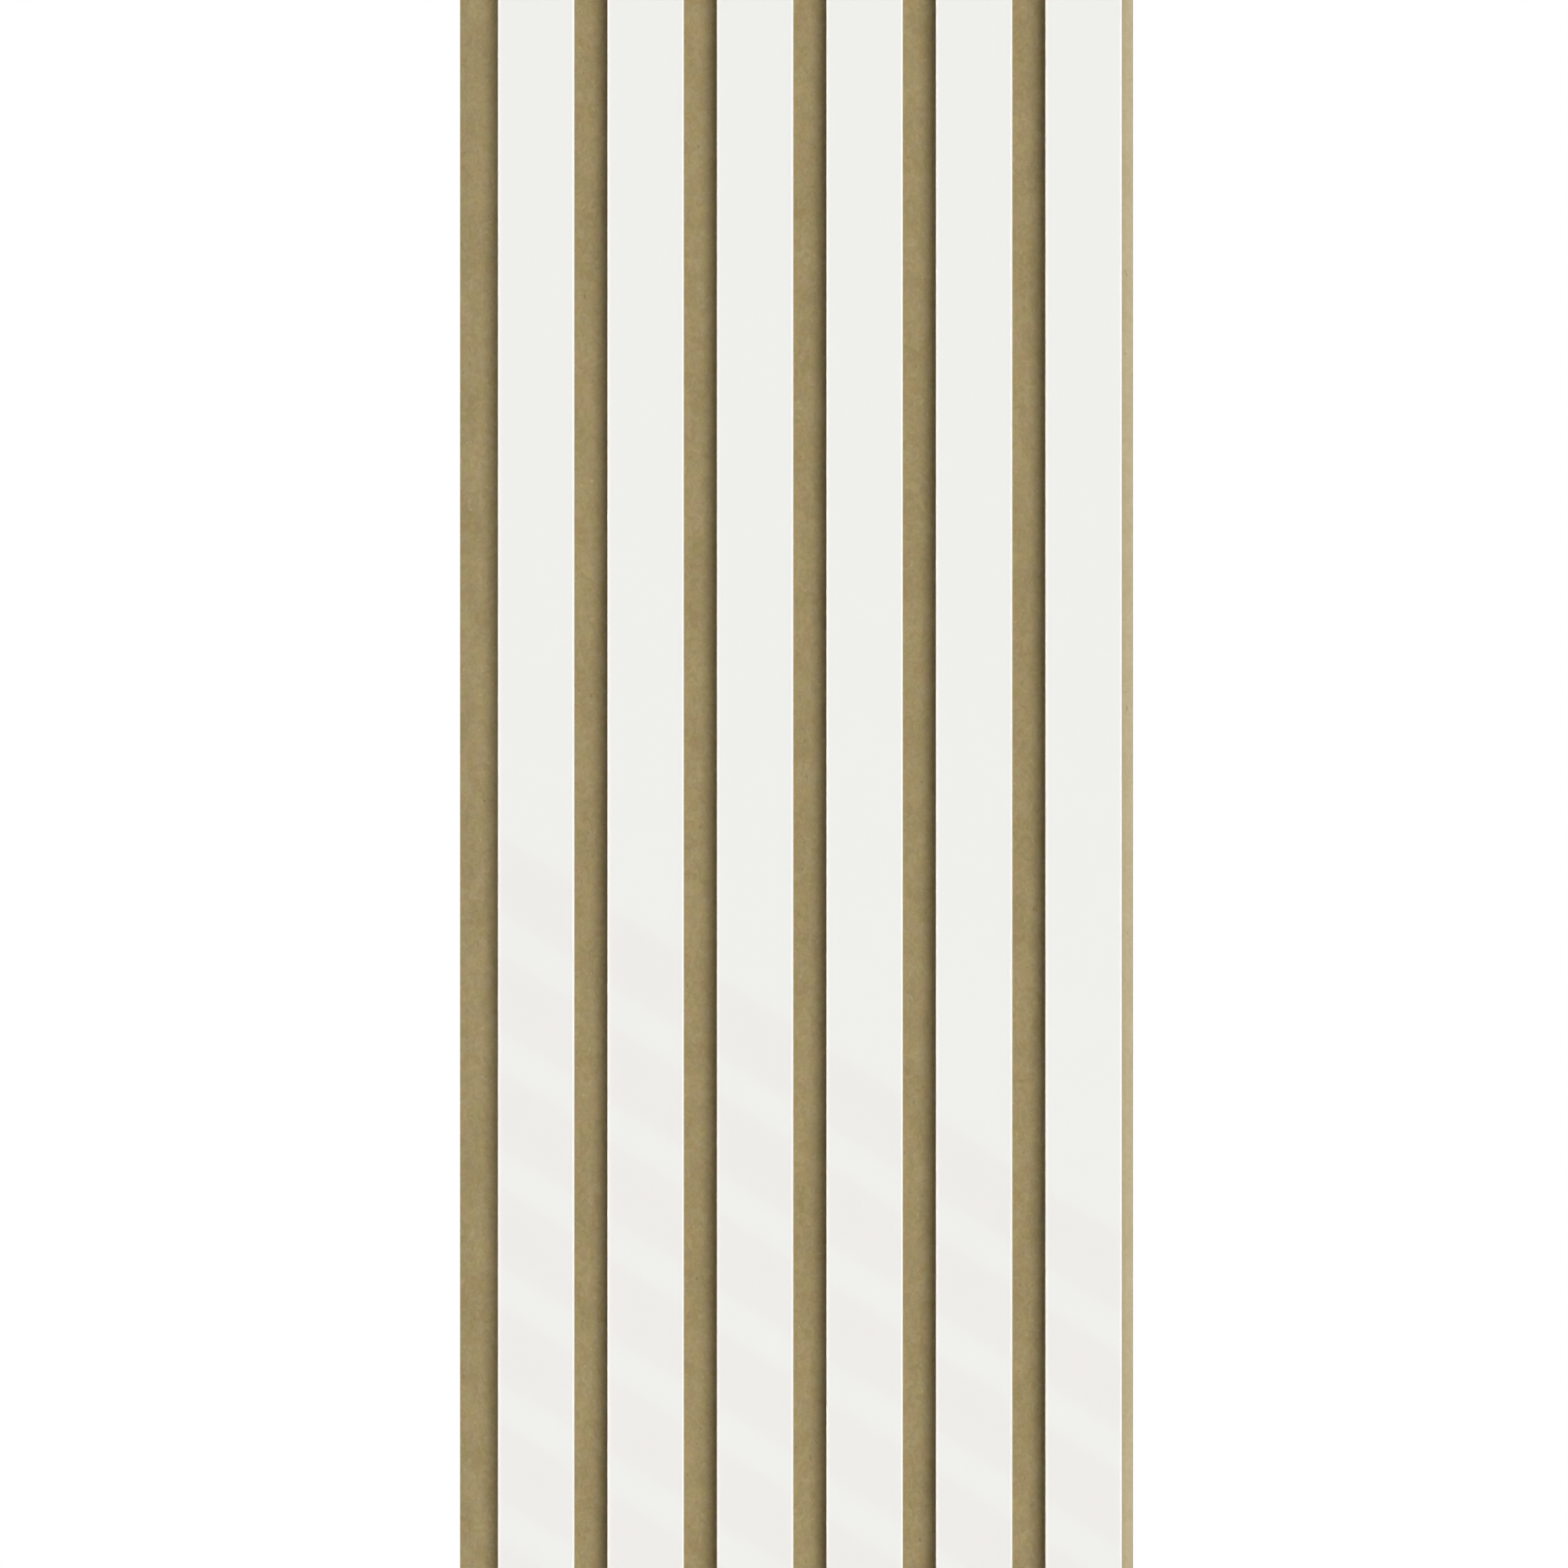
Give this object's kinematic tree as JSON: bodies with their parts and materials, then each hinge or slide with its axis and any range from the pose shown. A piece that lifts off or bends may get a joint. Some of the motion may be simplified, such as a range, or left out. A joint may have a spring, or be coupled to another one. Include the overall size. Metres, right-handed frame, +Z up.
{
  "type": "acoustic slat wall panel",
  "caption": "Upright wall panel of gloss white slats glued to a raw fibre-board back, with a half lap down each long edge to join the next panel.",
  "frame": {"origin": "middle of the board's back face, the face that lies against the wall", "axes": "+Z up along the slats, +Y into the wall, so the slats' faces look along -Y, +X to the right seen from the front, towards the tongue"},
  "size_m": [0.308, 0.018, 1.2],
  "materials": {
    "raw_board": "matte",
    "white_slat": "gloss"
  },
  "bodies": {
    "root": {"backing_board": "raw_board", "slat_1": "white_slat", "slat_2": "white_slat", "slat_3": "white_slat", "slat_4": "white_slat", "slat_5": "white_slat", "slat_6": "white_slat"}
  },
  "joints": []
}
